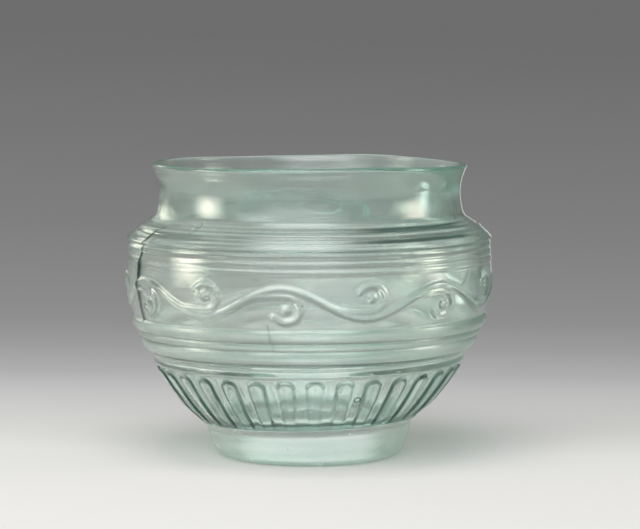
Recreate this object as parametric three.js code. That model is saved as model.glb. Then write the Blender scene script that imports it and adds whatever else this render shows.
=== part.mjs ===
// A mould-blown glass cup and the foot ring welded under it, in millimetres with +Z up.
// The origin is the middle of the resting face under the foot.
import * as THREE from "three";
import { mergeVertices } from "three/addons/utils/BufferGeometryUtils.js";

// Heights of the zones of the outer wall, from the table up. Each zone stands on the one before.
const FOOT_HEIGHT = 8.5;
const BASE_BAND_HEIGHT = 1.9;
const TONGUE_ZONE_HEIGHT = 14.2;
const COLLAR_HEIGHT = 2.3;
const COLLAR_BEAD_HEIGHT = 0.8;
const UNDERCUT_HEIGHT = 0.9;
const LOWER_RIB_HEIGHT = 3.2;
const RIB_GROOVE_HEIGHT = 0.5;
const FILLET_HEIGHT = 1.5;
const UPPER_RIB_HEIGHT = 3.1;
const FRIEZE_HEIGHT = 13.8;
const RIDGE_BAND_HEIGHT = 6.6;
const SHOULDER_HEIGHT = 5.2;
const NECK_HEIGHT = 14.5;

// Outer radii of the wall, from the table up.
const FOOT_TOP_RADIUS = 27;
const BASE_BAND_RADIUS = 29;
const TONGUE_TOP_RADIUS = 40;
const COLLAR_RADIUS = 40.9;
const LOWER_RIB_RADIUS = 42.4;
const FILLET_RADIUS = 45.2;
const UPPER_RIB_RADIUS = 45.7;
const FRIEZE_FOOT_RADIUS = 46.5;
const FRIEZE_TOP_RADIUS = 48.1;
const SHOULDER_RADIUS = 47.9;
const NECK_BASE_RADIUS = 41.3;
const NECK_WAIST_RADIUS = 39.7;
const LIP_RADIUS = 41.5;

// How far the relief of the mould stands off the wall.
const TONGUE_RELIEF = 0.9;
const TONGUE_ZONE_BULGE = 0.5;
const COLLAR_BEAD_RELIEF = 0.6;
const RIB_FLARE = 1.9;
const UPPER_RIB_FLARE = 0.9;
const RIB_BULGE = 0.5;
const GROOVE_DEPTH = 0.7;
const FILLET_BULGE = 0.25;
const FRIEZE_BULGE = 0.8;
const RIDGE_RELIEF = 0.5;
const SHOULDER_RING_RELIEF = 0.35;

// Small steps up the wall: from the tongues to the collar, and from the upper rib to the frieze.
const COLLAR_STEP = 0.35;
const FRIEZE_STEP = 0.7;

// Repeats.
const TONGUE_COUNT = 32;
const RIDGE_COUNT = 3;
const SHOULDER_RING_COUNT = 5;

// The tongues: how much of their pitch they fill, and how long their rounded ends are.
const TONGUE_FILL = 0.8;
const TONGUE_ARCH_LENGTH = 3;
const TONGUE_TAIL_LENGTH = 5;

// The neck: its waist above the shoulder, the hollow curve at its foot and the rounding of its lip.
const WAIST_RISE = 6.3;
const NECK_HOLLOW_RISE = 1.6;
const NECK_HOLLOW_DEPTH = 0.4;
const LIP_ROUNDING = 0.4;

// Thickness of the glass.
const LIP_WALL = 1.4;
const NECK_WALL = 1.7;
const SHOULDER_WALL = 2;
const BELLY_WALL = 1.9;
const RIB_WALL = 2.2;
const LOWER_WALL = 2.4;
const FLOOR_THICKNESS = 3;

// The floor: the rounded corner between it and the wall, and the rise at its middle. Then the shallow
// hollow under it, inside the foot ring, and the wad of glass that the iron left there.
const FLOOR_CORNER = 6.6;
const FLOOR_CROWN = 0.5;
const UNDERSIDE_RADIUS = 12;
const UNDERSIDE_RISE = 1.1;
const WAD_RADIUS = 7;
const WAD_DROP = 1.4;
const WAD_CROWN = 0.3;
const WAD_ROUNDING = 1.2;

// The foot ring: the seat that the bowl is welded to, the taper from there down to its outer edge, the
// rounding of that edge, and the flat face that it rests on.
const SEAT_WIDTH = 4.4;
const FOOT_TAPER = 1.8;
const FOOT_SIDE_BULGE = 0.25;
const FOOT_EDGE_HEIGHT = 2.6;
const FOOT_EDGE_ROUNDING = 3.2;
const REST_FACE_WIDTH = 2.2;
const FOOT_INNER_FLARE = 0.5;

// Columns of facets: each tongue has four, and the plain zones have half as many.
const TONGUE_COLUMNS = TONGUE_COUNT * 4;
const PLAIN_COLUMNS = TONGUE_COUNT * 2;

// Steps in each curved stretch of an outline.
const TONGUE_STEPS = 9;
const RIB_STEPS = 4;
const FILLET_STEPS = 2;
const FRIEZE_STEPS = 5;
const NECK_STEPS = 7;
const FOOT_STEPS = 4;
const INNER_STEPS = 18;

// Levels where the zones meet.
const tongueFoot = FOOT_HEIGHT + BASE_BAND_HEIGHT;
const tongueTop = tongueFoot + TONGUE_ZONE_HEIGHT;
const collarTop = tongueTop + COLLAR_HEIGHT;
const collarBeadTop = collarTop + COLLAR_BEAD_HEIGHT;
const lowerRibFoot = collarBeadTop + UNDERCUT_HEIGHT;
const lowerRibTop = lowerRibFoot + LOWER_RIB_HEIGHT;
const filletFoot = lowerRibTop + RIB_GROOVE_HEIGHT;
const filletTop = filletFoot + FILLET_HEIGHT;
const upperRibFoot = filletTop + RIB_GROOVE_HEIGHT;
const upperRibTop = upperRibFoot + UPPER_RIB_HEIGHT;
const friezeTop = upperRibTop + FRIEZE_HEIGHT;
const shoulderEdge = friezeTop + RIDGE_BAND_HEIGHT;
const neckBase = shoulderEdge + SHOULDER_HEIGHT;
const waist = neckBase + WAIST_RISE;
const lip = neckBase + NECK_HEIGHT;
const floorTop = FOOT_HEIGHT + FLOOR_THICKNESS;
const underside = FOOT_HEIGHT + UNDERSIDE_RISE;
const wadLevel = underside - WAD_DROP;

// Radii that follow from what the floor and the foot meet.
const floorRadius = BASE_BAND_RADIUS - LOWER_WALL - FLOOR_CORNER;
const seatInnerRadius = FOOT_TOP_RADIUS - SEAT_WIDTH;
const footEdgeRadius = FOOT_TOP_RADIUS - FOOT_TAPER;
const restOuterRadius = footEdgeRadius - FOOT_EDGE_ROUNDING;
const restInnerRadius = restOuterRadius - REST_FACE_WIDTH;

// An outline's point, a radius and a level.
function at(radius, level) {
  return new THREE.Vector2(radius, level);
}

// The points after the first of a shallow arc that stands off its chord, on its right hand side.
function bulged(from, to, bulge, steps) {
  const chord = to.clone().sub(from);
  const side = at(chord.y, -chord.x).normalize();
  const points = [];
  for (let i = 1; i <= steps; i++) {
    const t = i / steps;
    const stand = 4 * bulge * t * (1 - t);
    points.push(from.clone().addScaledVector(chord, t).addScaledVector(side, stand));
  }
  return points;
}

// Fine rings turned round a stretch of wall: a valley and a crest for each, then a last valley.
function rings(from, to, count, relief) {
  const chord = to.clone().sub(from);
  const side = at(chord.y, -chord.x).normalize();
  const points = [];
  for (let i = 0; i < count; i++) {
    const valley = from.clone().addScaledVector(chord, i / count);
    const crest = from.clone().addScaledVector(chord, (i + 0.5) / count);
    points.push(valley, crest.addScaledVector(side, relief));
  }
  points.push(to);
  return points;
}

// The wall's inner side: each key point of the outer side moved in by the glass there.
function insetCurve(keys, walls) {
  return keys.map((key, i) => {
    const before = keys[Math.max(i - 1, 0)];
    const after = keys[Math.min(i + 1, keys.length - 1)];
    const along = after.clone().sub(before).normalize();
    return key.clone().addScaledVector(at(along.y, -along.x), -walls[i]);
  });
}

// How high a tongue stands at a place: share counts along the zone from its foot, and tongues counts
// round the wall, with a tongue's middle at each whole number.
function tongueRelief(share, tongues) {
  const fromFoot = (share * TONGUE_ZONE_HEIGHT) / TONGUE_TAIL_LENGTH;
  const fromTop = ((1 - share) * TONGUE_ZONE_HEIGHT) / TONGUE_ARCH_LENGTH;
  const end = Math.min(fromFoot, fromTop, 1);
  const halfWidth = (TONGUE_FILL / 2) * Math.sqrt(end * (2 - end));
  const offset = Math.abs(tongues - Math.round(tongues)) / Math.max(halfWidth, Number.EPSILON);
  return offset < 1 ? TONGUE_RELIEF * Math.sqrt(1 - offset * offset) : 0;
}

// A row of the skin: a circle of columns, or one point on the axis. Relief stands square off the wall.
function row(point, columns, relief = () => 0, side = at(1, 0)) {
  if (point.x === 0) {
    return [new THREE.Vector3(0, 0, point.y)];
  }
  const corners = [];
  for (let i = 0; i < columns; i++) {
    const turn = i / columns;
    const angle = 2 * Math.PI * turn;
    const stand = relief(turn);
    const radius = point.x + side.x * stand;
    const level = point.y + side.y * stand;
    corners.push(new THREE.Vector3(radius * Math.cos(angle), radius * Math.sin(angle), level));
  }
  return corners;
}

// The rows of the tongue zone, above its foot and up to its top.
function tongueRows() {
  const from = at(BASE_BAND_RADIUS, tongueFoot);
  const to = at(TONGUE_TOP_RADIUS, tongueTop);
  const chord = to.clone().sub(from);
  const side = at(chord.y, -chord.x).normalize();
  return bulged(from, to, TONGUE_ZONE_BULGE, TONGUE_STEPS).map((point, i) => {
    const share = (i + 1) / TONGUE_STEPS;
    return row(point, TONGUE_COLUMNS, (turn) => tongueRelief(share, turn * TONGUE_COUNT), side);
  });
}

// The outer outline over the tongues, as far as the lip's outer edge.
function outerOutline() {
  const collar = at(COLLAR_RADIUS, collarTop);
  const lowerRib = at(LOWER_RIB_RADIUS, lowerRibFoot);
  const lowerRibHead = at(LOWER_RIB_RADIUS + RIB_FLARE, lowerRibTop);
  const filletLow = at(FILLET_RADIUS - GROOVE_DEPTH / 2, filletFoot);
  const upperRib = at(UPPER_RIB_RADIUS, upperRibFoot);
  const upperRibHead = at(UPPER_RIB_RADIUS + UPPER_RIB_FLARE, upperRibTop);
  const friezeFoot = at(FRIEZE_FOOT_RADIUS, upperRibTop + FRIEZE_STEP);
  const friezeHead = at(FRIEZE_TOP_RADIUS, friezeTop);
  const ridgeHead = at(SHOULDER_RADIUS - RIDGE_RELIEF, shoulderEdge - RIDGE_RELIEF);
  const shoulder = at(SHOULDER_RADIUS, shoulderEdge);
  const neckFoot = at(NECK_BASE_RADIUS, neckBase);
  const neckMiddle = (NECK_BASE_RADIUS + NECK_WAIST_RADIUS) / 2;
  const neckHollow = at(neckMiddle - NECK_HOLLOW_DEPTH, neckBase + NECK_HOLLOW_RISE);
  const neckWaist = at(NECK_WAIST_RADIUS, waist);
  const lipEdge = at(LIP_RADIUS, lip - LIP_ROUNDING);
  return [
    at(COLLAR_RADIUS, tongueTop + COLLAR_STEP),
    collar,
    at(COLLAR_RADIUS + COLLAR_BEAD_RELIEF, collarTop + COLLAR_BEAD_HEIGHT / 2),
    at(COLLAR_RADIUS + COLLAR_BEAD_RELIEF / 2, collarBeadTop),
    lowerRib,
    ...bulged(lowerRib, lowerRibHead, RIB_BULGE, RIB_STEPS),
    at(FILLET_RADIUS - GROOVE_DEPTH, lowerRibTop + RIB_GROOVE_HEIGHT / 2),
    ...bulged(filletLow, at(FILLET_RADIUS, filletTop), FILLET_BULGE, FILLET_STEPS),
    at(UPPER_RIB_RADIUS - GROOVE_DEPTH, filletTop + RIB_GROOVE_HEIGHT / 2),
    upperRib,
    ...bulged(upperRib, upperRibHead, RIB_BULGE, RIB_STEPS),
    friezeFoot,
    ...bulged(friezeFoot, friezeHead, FRIEZE_BULGE, FRIEZE_STEPS).slice(0, -1),
    ...rings(friezeHead, ridgeHead, RIDGE_COUNT, RIDGE_RELIEF),
    shoulder,
    ...rings(shoulder, neckFoot, SHOULDER_RING_COUNT, SHOULDER_RING_RELIEF).slice(1),
    ...new THREE.SplineCurve([neckFoot, neckHollow, neckWaist, lipEdge]).getPoints(NECK_STEPS).slice(1),
  ];
}

// The inner outline, from the lip's inner edge down to the middle of the floor.
function innerOutline() {
  const keys = [
    at(LIP_RADIUS, lip - LIP_ROUNDING),
    at(NECK_WAIST_RADIUS, waist),
    at(NECK_BASE_RADIUS, neckBase),
    at((NECK_BASE_RADIUS + SHOULDER_RADIUS) / 2, (neckBase + shoulderEdge) / 2),
    at(SHOULDER_RADIUS, (shoulderEdge + friezeTop) / 2),
    at((FRIEZE_TOP_RADIUS + FRIEZE_FOOT_RADIUS) / 2 + FRIEZE_BULGE, (friezeTop + upperRibTop) / 2),
    at(FILLET_RADIUS, filletFoot),
    at(TONGUE_TOP_RADIUS, tongueTop),
    at(BASE_BAND_RADIUS, tongueFoot),
  ].reverse();
  const walls = [
    LIP_WALL,
    NECK_WALL,
    NECK_WALL,
    SHOULDER_WALL,
    SHOULDER_WALL,
    BELLY_WALL,
    RIB_WALL,
    LOWER_WALL,
    LOWER_WALL,
  ].reverse();
  const floor = at(floorRadius, floorTop);
  const side = new THREE.SplineCurve([floor, ...insetCurve(keys, walls)]).getPoints(INNER_STEPS);
  return [...side.reverse(), at(0, floorTop + FLOOR_CROWN)];
}

// One closed skin from rows that run from pole to pole. Neighbouring rows have as many corners as each
// other, or twice as many, and a pole has one.
function skin(rows) {
  const corners = rows.flat();
  const faces = [];
  let first = 0;
  for (let k = 0; k + 1 < rows.length; k++) {
    const near = rows[k].length;
    const far = rows[k + 1].length;
    const next = first + near;
    const most = Math.max(near, far);
    for (let i = 0; i < most; i++) {
      const a = first + Math.floor((i * near) / most);
      const b = first + (Math.floor(((i + 1) * near) / most) % near);
      const c = next + Math.floor((i * far) / most);
      const d = next + (Math.floor(((i + 1) * far) / most) % far);
      if (a !== b) {
        faces.push(a, b, d);
      }
      if (c !== d) {
        faces.push(a, d, c);
      }
    }
    first = next;
  }
  const geometry = new THREE.BufferGeometry().setFromPoints(corners);
  geometry.setIndex(faces);
  geometry.computeVertexNormals();
  return geometry;
}

// The bowl: base, outer wall, lip, inner wall and floor of one bubble.
function bowlGeometry() {
  const base = [
    at(0, wadLevel),
    at(WAD_RADIUS - WAD_ROUNDING, wadLevel + WAD_CROWN),
    at(WAD_RADIUS, underside),
    at(UNDERSIDE_RADIUS, underside),
    at(seatInnerRadius, FOOT_HEIGHT),
    at(FOOT_TOP_RADIUS, FOOT_HEIGHT),
  ];
  const plain = (points) => points.map((point) => row(point, PLAIN_COLUMNS));
  return skin([
    ...plain(base),
    row(at(BASE_BAND_RADIUS, tongueFoot), TONGUE_COLUMNS),
    ...tongueRows(),
    ...plain(outerOutline()),
    ...plain([at(LIP_RADIUS - LIP_ROUNDING, lip), at(LIP_RADIUS - LIP_WALL + LIP_ROUNDING, lip)]),
    ...plain(innerOutline()),
  ]);
}

// The foot ring: a tapering ring, flat on top for the weld and flat below where it rests.
function footGeometry() {
  const restInner = at(restInnerRadius, 0);
  const restOuter = at(restOuterRadius, 0);
  const edge = at(footEdgeRadius, FOOT_EDGE_HEIGHT);
  const seatOuter = at(FOOT_TOP_RADIUS, FOOT_HEIGHT);
  const seatInner = at(seatInnerRadius, FOOT_HEIGHT);
  const corner = new THREE.QuadraticBezierCurve(restOuter, at(footEdgeRadius - FOOT_SIDE_BULGE, 0), edge);
  const outline = [
    restInner,
    ...corner.getPoints(FOOT_STEPS),
    ...bulged(edge, seatOuter, FOOT_SIDE_BULGE, FOOT_STEPS),
    seatInner,
    at(restInnerRadius - FOOT_INNER_FLARE, FOOT_EDGE_HEIGHT),
    restInner,
  ];
  const lathed = new THREE.LatheGeometry(outline, PLAIN_COLUMNS).rotateX(Math.PI / 2);
  lathed.deleteAttribute("normal");
  lathed.deleteAttribute("uv");
  const closed = mergeVertices(lathed);
  closed.computeVertexNormals();
  return closed;
}

// Clear blue-green glass, and the paler, milkier glass of the foot.
const wallGlass = new THREE.MeshStandardMaterial({ color: 0x91a59b, roughness: 0.12, metalness: 0 });
const footGlass = new THREE.MeshStandardMaterial({ color: 0xb4c6bc, roughness: 0.25, metalness: 0 });

const cup = new THREE.Group();
const bowl = new THREE.Mesh(bowlGeometry(), wallGlass);
bowl.name = "bowl";
const footRing = new THREE.Mesh(footGeometry(), footGlass);
footRing.name = "foot_ring";
cup.add(bowl, footRing);

export default cup;
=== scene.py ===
"""A mould-blown glass cup on its foot ring, on a pale studio sweep. Metres, +Z up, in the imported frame."""
import math

import bpy
import bmesh
from mathutils import Matrix, Vector, kdtree, noise


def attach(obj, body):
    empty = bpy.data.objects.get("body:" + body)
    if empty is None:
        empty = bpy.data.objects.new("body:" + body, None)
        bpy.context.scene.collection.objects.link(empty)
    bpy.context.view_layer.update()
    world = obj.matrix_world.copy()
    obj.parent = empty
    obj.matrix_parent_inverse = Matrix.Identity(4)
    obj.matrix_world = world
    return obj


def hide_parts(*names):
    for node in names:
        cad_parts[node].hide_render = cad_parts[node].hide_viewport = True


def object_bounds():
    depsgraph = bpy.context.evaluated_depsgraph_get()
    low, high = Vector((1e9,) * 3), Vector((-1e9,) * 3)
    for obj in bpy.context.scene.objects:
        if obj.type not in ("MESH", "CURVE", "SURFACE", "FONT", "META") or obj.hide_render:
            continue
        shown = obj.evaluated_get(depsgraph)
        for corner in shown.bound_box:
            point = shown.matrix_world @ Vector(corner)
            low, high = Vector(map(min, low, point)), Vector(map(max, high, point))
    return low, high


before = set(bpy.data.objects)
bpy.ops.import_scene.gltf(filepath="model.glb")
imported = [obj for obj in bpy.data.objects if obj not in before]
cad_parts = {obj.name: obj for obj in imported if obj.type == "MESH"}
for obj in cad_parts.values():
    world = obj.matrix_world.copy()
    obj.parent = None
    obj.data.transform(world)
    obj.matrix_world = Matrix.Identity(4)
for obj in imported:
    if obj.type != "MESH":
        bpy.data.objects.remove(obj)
cad_low, cad_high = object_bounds()

MM = 0.001

# Levels where the zones of the wall meet, from the table up, in millimetres.
FOOT_TOP = 8.5
TONGUE_FOOT = 10.4
TONGUE_TOP = 24.6
COLLAR_TOP = 26.9
COLLAR_BEAD_TOP = 27.7
LOWER_RIB_FOOT = 28.6
LOWER_RIB_TOP = 31.8
FILLET_FOOT = 32.3
FILLET_TOP = 33.8
UPPER_RIB_FOOT = 34.3
UPPER_RIB_TOP = 37.4
FRIEZE_TOP = 51.2
SHOULDER_EDGE = 57.8
NECK_BASE = 63.0
NECK_WAIST = 69.3
LIP = cad_high.z / MM

# Outer radii of the wall at those levels, in millimetres.
FOOT_TOP_RADIUS = 27.0
BASE_BAND_RADIUS = 29.0
TONGUE_TOP_RADIUS = 40.0
COLLAR_RADIUS = 40.9
LOWER_RIB_RADIUS = 42.4
LOWER_RIB_HEAD_RADIUS = 44.3
FILLET_RADIUS = 45.2
UPPER_RIB_RADIUS = 45.7
UPPER_RIB_HEAD_RADIUS = 46.6
FRIEZE_FOOT_RADIUS = 46.4
FRIEZE_TOP_RADIUS = 47.75
SHOULDER_RADIUS = 47.65
NECK_BASE_RADIUS = 41.3
NECK_WAIST_RADIUS = 39.7
LIP_RADIUS = 41.5

# How far each band of the wall bulges off the straight line between its edges, in millimetres.
TONGUE_BELT_BULGE = 0.5
COLLAR_BEAD_BULGE = 0.18
UNDERCUT_DEPTH = 0.5
RIB_BULGE = 0.6
FILLET_BULGE = 0.2
GROOVE_DEPTH = 0.4
FRIEZE_BULGE = 0.74
SHOULDER_EDGE_BULGE = 0.65

# The inner side of the wall from under the lip to the middle of the floor, as radius and level.
INNER_WALL = (
    (38.6, 73.4),
    (37.6, NECK_WAIST),
    (38.4, 64.2),
    (40.1, 61.6),
    (43.4, 59.2),
    (45.6, 56.6),
    (46.25, 52.6),
    (46.2, 45.0),
    (45.1, 38.6),
    (43.0, 32.4),
    (39.1, 25.8),
    (34.8, 19.4),
    (31.1, 14.7),
    (28.0, 11.9),
    (23.0, 11.1),
    (10.0, 11.2),
    (0.0, 11.7),
)

# The foot ring, in millimetres.
REST_INNER_RADIUS = 19.8
REST_OUTER_RADIUS = 22.0
FOOT_EDGE_RADIUS = 25.2
FOOT_EDGE_LEVEL = 2.6
SEAT_INNER_RADIUS = 22.6
WELD_FILM = 0.03

# The foot's glass laps up over the base of the bowl: its thickness, the level where it ends, and how that
# edge waves. The side of the foot is uneven too.
LAP = 0.55
LAP_TOP = 10.0
LAP_WAVE = 0.35
LAP_WAVE_LENGTH = 1.8
FOOT_WAVE = 0.22

# The wad of glass left at the middle of the underside, where the cup was held on the iron.
UNDERSIDE = 9.6
WAD_RADIUS = 7.0
WAD_LEVEL = 8.2

# The foot is welded on a little askew: how much the seat leans to the right, and the height over which
# the wall above it comes level again.
SEAT_LEAN = 0.030
LEAN_FADE = 14.0

# The relief of the mould, in millimetres. The scarp is how far a tongue's edge takes to rise. A tongue's
# height runs from its foot share and its edge share up to the whole. At the front and back it is worn down,
# and it is whole where it lies farther aside than SHARP_SIDE of the radius.
TONGUE_COUNT = 32
TONGUE_PHASE = 0.23
TONGUE_RELIEF = 0.8
TONGUE_FILL = 0.68
TONGUE_SCARP = 0.7
TONGUE_TOP_GAP = 0.3
TONGUE_FOOT_SHARE = 0.3
TONGUE_FOOT_RISE = 2.8
TONGUE_EDGE_SHARE = 0.72
TONGUE_MIDDLE_SHARE = 0.28
WORN_FRONT = 0.4
SHARP_SIDE = 0.6

# A tongue's crease is a line of painted shade inside its edge, for the dark line that refraction draws there:
# how far in it runs and its half width in millimetres, at the near and at the far side, and how dark it is on
# a worn tongue and on a sharp one.
CREASE_NEAR = (0.36, 0.40)
CREASE_FAR = (0.88, 0.66)
CREASE_WORN = 0.22
CREASE_SHARP = 0.97

# The valleys between the ribs are painted with shade too, where they lie in shadow under the ribs, and the
# lowest the most: at the front, at the sides, and how much more at the right.
VALLEY_SHADE = 0.3
LOWEST_FRONT = 0.75
LOWEST_SIDE = 0.65
LOWEST_RIGHT = 0.2

# The bands of painted shade on the shoulder's steps, where the thick glass bends the light away: their levels
# and half widths in millimetres, how dark they are, and the reach that they have at the front, in shares of
# the radius off the middle: from, to, and the fades.
UPPER_BAND = (62.0, 0.75)
LOWER_BAND = (59.5, 0.65)
RIGHT_DARKNESS = 0.92
RIGHT_REACH = (0.10, 0.94, 0.35, 0.12)
LEFT_DARKNESS = 0.5
LEFT_REACH = (0.45, 0.96, 0.2, 0.12)

# The hollow follows the tongues softly, between these levels and over this fade.
INNER_RELIEF = 0.10
INNER_BELT = (12, 26)
INNER_FADE = 4

# The running scroll of the frieze, in millimetres.
SCROLL_COUNT = 14
SCROLL_PHASE = 0.31
SCROLL_RELIEF = 0.5
SCROLL_HALF_WIDTH = 0.95
STEM_SWING = 3.7
BERRY_RADIUS = 1.25
BERRY_HEIGHT = 1.3

# The turned rings of the shoulder are worn at the left. These are shares of the radius, from the left limb.
FAINTEST_RINGS = 0.2
RINGS_FROM = -0.80
RINGS_TO = -0.35

# How far the hollow lies off the middle, to the left, so that the wall is thicker at the right.
HOLLOW_SHIFT = 0.5
SHIFT_FROM = 12
SHIFT_FADE = 12

# The unevenness of blown glass: how long its waves are, where in the noise they start, and how high they
# stand, in millimetres. The neck and the hollow were free of the mould, and the belts were pressed into it.
FREE_ZONES = ("inner", "neck", "lip", "shoulder")
PLAIN_ZONES = ("underside", "seat", "base")
TURNED_ZONES = ("shoulder", "ridges")
FREE_FROM = 14
FREE_FADE = 10
WAVE_LENGTH = 26
WAVE_START = (3.1, 7.7, 1.3)
FREE_WAVE = 0.22
PRESSED_WAVE = 0.08
RIPPLE_LENGTHS = (16, 16, 9)
RIPPLE_START = (11, 5, 2)
RIPPLE = 0.10
STEP_LENGTHS = (22, 22, 3)
STEP_START = (4, 9, 2)
STEP_WAVE = 0.16
LIP_SAG = 0.55
SAG_PLACE = (1.4, 9.0)

# Columns round the wall: the plain zones, then how many times finer the worked ones are.
COLUMNS = 192
TONGUE_SPLIT = 4
FRIEZE_SPLIT = 4


def between(a, b, share):
    return a + (b - a) * share


def line(start, end, steps):
    """Points after start, on a straight line to end."""
    return [
        (between(start[0], end[0], i / steps), between(start[1], end[1], i / steps))
        for i in range(1, steps + 1)
    ]


def bulged(start, end, bulge, steps):
    """Points after start on a shallow arc to end, which stands off its chord to the right hand side."""
    along = Vector((end[0] - start[0], end[1] - start[1]))
    side = Vector((along.y, -along.x)).normalized()
    points = []
    for i in range(1, steps + 1):
        share = i / steps
        stand = 4 * bulge * share * (1 - share)
        points.append((
            start[0] + along.x * share + side.x * stand,
            start[1] + along.y * share + side.y * stand,
        ))
    return points


def rings(start, end, reliefs, steps):
    """Fine turned rings on the way to end, one for each relief, rounded on top and sharp in the valleys."""
    points = []
    count = len(reliefs)
    for i, relief in enumerate(reliefs):
        foot = (between(start[0], end[0], i / count), between(start[1], end[1], i / count))
        head = (between(start[0], end[0], (i + 1) / count), between(start[1], end[1], (i + 1) / count))
        points += bulged(foot, head, relief, steps)
    return points


def smooth(keys, steps):
    """Points on a Catmull-Rom curve through the keys, after the first key."""
    padded = [keys[0], *keys, keys[-1]]
    points = []
    for i in range(1, len(padded) - 2):
        p0, p1, p2, p3 = (Vector(padded[i + k]) for k in (-1, 0, 1, 2))
        for k in range(1, steps + 1):
            t = k / steps
            q = 0.5 * (2 * p1 + (p2 - p0) * t + (2 * p0 - 5 * p1 + 4 * p2 - p3) * t * t
                       + (3 * p1 - p0 - 3 * p2 + p3) * t ** 3)
            points.append((q.x, q.y))
    return points


def bowl_outline(turned=1.0):
    """The bowl's section from the middle of its underside, over the lip, to the middle of its floor.

    turned is how strongly the fine turned rings stand out. Returns the points, and the zone of each."""
    points, zones = [(0.0, WAD_LEVEL)], ["underside"]

    def add(zone, more):
        points.extend(more)
        zones.extend([zone] * len(more))

    underside = [
        points[0],
        (WAD_RADIUS * 0.65, WAD_LEVEL + 0.15),
        (WAD_RADIUS, UNDERSIDE - 0.4),
        (WAD_RADIUS + 1, UNDERSIDE),
        (13.0, UNDERSIDE),
        (19.5, 9.4),
        (SEAT_INNER_RADIUS, FOOT_TOP),
    ]
    add("underside", smooth(underside, 3))
    add("seat", line(points[-1], (FOOT_TOP_RADIUS - LAP, FOOT_TOP), 2))
    add("base", line(points[-1], (BASE_BAND_RADIUS - LAP, LAP_TOP), 4))
    add("base", bulged(points[-1], (BASE_BAND_RADIUS, TONGUE_FOOT), 0.05, 2))
    add("tongues", bulged(points[-1], (TONGUE_TOP_RADIUS, TONGUE_TOP), TONGUE_BELT_BULGE, 40))
    add("collar", bulged(points[-1], (COLLAR_RADIUS, TONGUE_TOP + 0.5), -0.1, 3))
    add("collar", line(points[-1], (COLLAR_RADIUS - 0.1, COLLAR_TOP), 4))
    add("collar", bulged(points[-1], (COLLAR_RADIUS + 0.3, COLLAR_BEAD_TOP), COLLAR_BEAD_BULGE, 5))
    add("valleys", bulged(points[-1], (LOWER_RIB_RADIUS + 0.2, LOWER_RIB_FOOT), -UNDERCUT_DEPTH, 5))
    add("ribs", bulged(points[-1], (LOWER_RIB_HEAD_RADIUS, LOWER_RIB_TOP), RIB_BULGE, 8))
    add("valleys", bulged(points[-1], (FILLET_RADIUS - 0.5, FILLET_FOOT), -GROOVE_DEPTH, 4))
    add("ribs", bulged(points[-1], (FILLET_RADIUS, FILLET_TOP), FILLET_BULGE, 5))
    add("valleys", bulged(points[-1], (UPPER_RIB_RADIUS, UPPER_RIB_FOOT), -GROOVE_DEPTH, 4))
    add("ribs", bulged(points[-1], (UPPER_RIB_HEAD_RADIUS, UPPER_RIB_TOP), RIB_BULGE, 8))
    add("ribs", bulged(points[-1], (FRIEZE_FOOT_RADIUS, UPPER_RIB_TOP + 0.7), -0.2, 3))
    add("frieze", bulged(points[-1], (FRIEZE_TOP_RADIUS, FRIEZE_TOP), FRIEZE_BULGE, 36))
    ridges_head = (SHOULDER_RADIUS - 0.5, SHOULDER_EDGE - 0.8)
    add("ridges", rings(points[-1], ridges_head, (0.3 * turned, 0.4 * turned, 0.45), 5))
    edge_head = (SHOULDER_RADIUS - 0.3, SHOULDER_EDGE + 0.4)
    add("ridges", bulged(points[-1], edge_head, SHOULDER_EDGE_BULGE, 6))
    add("shoulder", rings(points[-1], (45.3, 60.0), (0.14 * turned, 0.18 * turned), 4))
    add("shoulder", rings(points[-1], (43.9, 61.0), (0.34,), 5))
    add("shoulder", rings(points[-1], (NECK_BASE_RADIUS, NECK_BASE), (0.16 * turned, 0.12 * turned), 4))
    neck = [points[-1], (40.35, 64.6), (NECK_WAIST_RADIUS, NECK_WAIST), (40.2, 73.4), (LIP_RADIUS, LIP - 0.5)]
    add("neck", smooth(neck, 4))
    add("lip", bulged(points[-1], (LIP_RADIUS - 1.4, LIP - 0.35), 0.5, 6))
    add("inner", smooth([points[-1], *INNER_WALL], 2))
    return points, zones


def last_of(zones, zone):
    """The last place on the outline that lies in a zone."""
    return len(zones) - 1 - zones[::-1].index(zone)


def outline_normals(points):
    """The direction that the wall faces at each point of its outline."""
    normals = []
    for i in range(len(points)):
        before, after = points[max(i - 1, 0)], points[min(i + 1, len(points) - 1)]
        normals.append(Vector((after[1] - before[1], before[0] - after[0])).normalized())
    return normals


def draw_outline(name, points, closed):
    """A new mesh object that is one chain of edges in the XZ plane, drawn vertex by vertex."""
    bpy.ops.object.select_all(action="DESELECT")
    bpy.ops.mesh.primitive_plane_add(size=MM)
    piece = bpy.context.object
    piece.name = name
    bpy.ops.object.mode_set(mode="EDIT")
    bpy.ops.mesh.merge(type="CENTER")
    here = Vector((0, 0, 0))
    first = Vector((points[0][0] * MM, 0, points[0][1] * MM))
    bpy.ops.transform.translate(value=first - here)
    here = first
    for radius, level in points[1:]:
        there = Vector((radius * MM, 0, level * MM))
        bpy.ops.mesh.extrude_region_move(TRANSFORM_OT_translate={"value": there - here})
        here = there
    if closed:
        bpy.ops.mesh.select_all(action="SELECT")
        bpy.ops.mesh.remove_doubles(threshold=MM * 0.001)
    bpy.ops.object.mode_set(mode="OBJECT")
    layer = piece.data.attributes.new("outline", "FLOAT", "POINT")
    for v in piece.data.vertices:
        layer.data[v.index].value = v.index
    return piece


def turn_round(piece, columns):
    """Spins the outline round the axis into a closed skin that faces out."""
    bpy.ops.object.mode_set(mode="EDIT")
    bpy.ops.mesh.select_all(action="SELECT")
    bpy.ops.mesh.spin(steps=columns, angle=2 * math.pi, center=(0, 0, 0), axis=(0, 0, 1))
    bpy.ops.mesh.select_all(action="SELECT")
    bpy.ops.mesh.remove_doubles(threshold=MM * 0.002)
    bpy.ops.mesh.normals_make_consistent(inside=False)
    bpy.ops.object.mode_set(mode="OBJECT")


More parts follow.
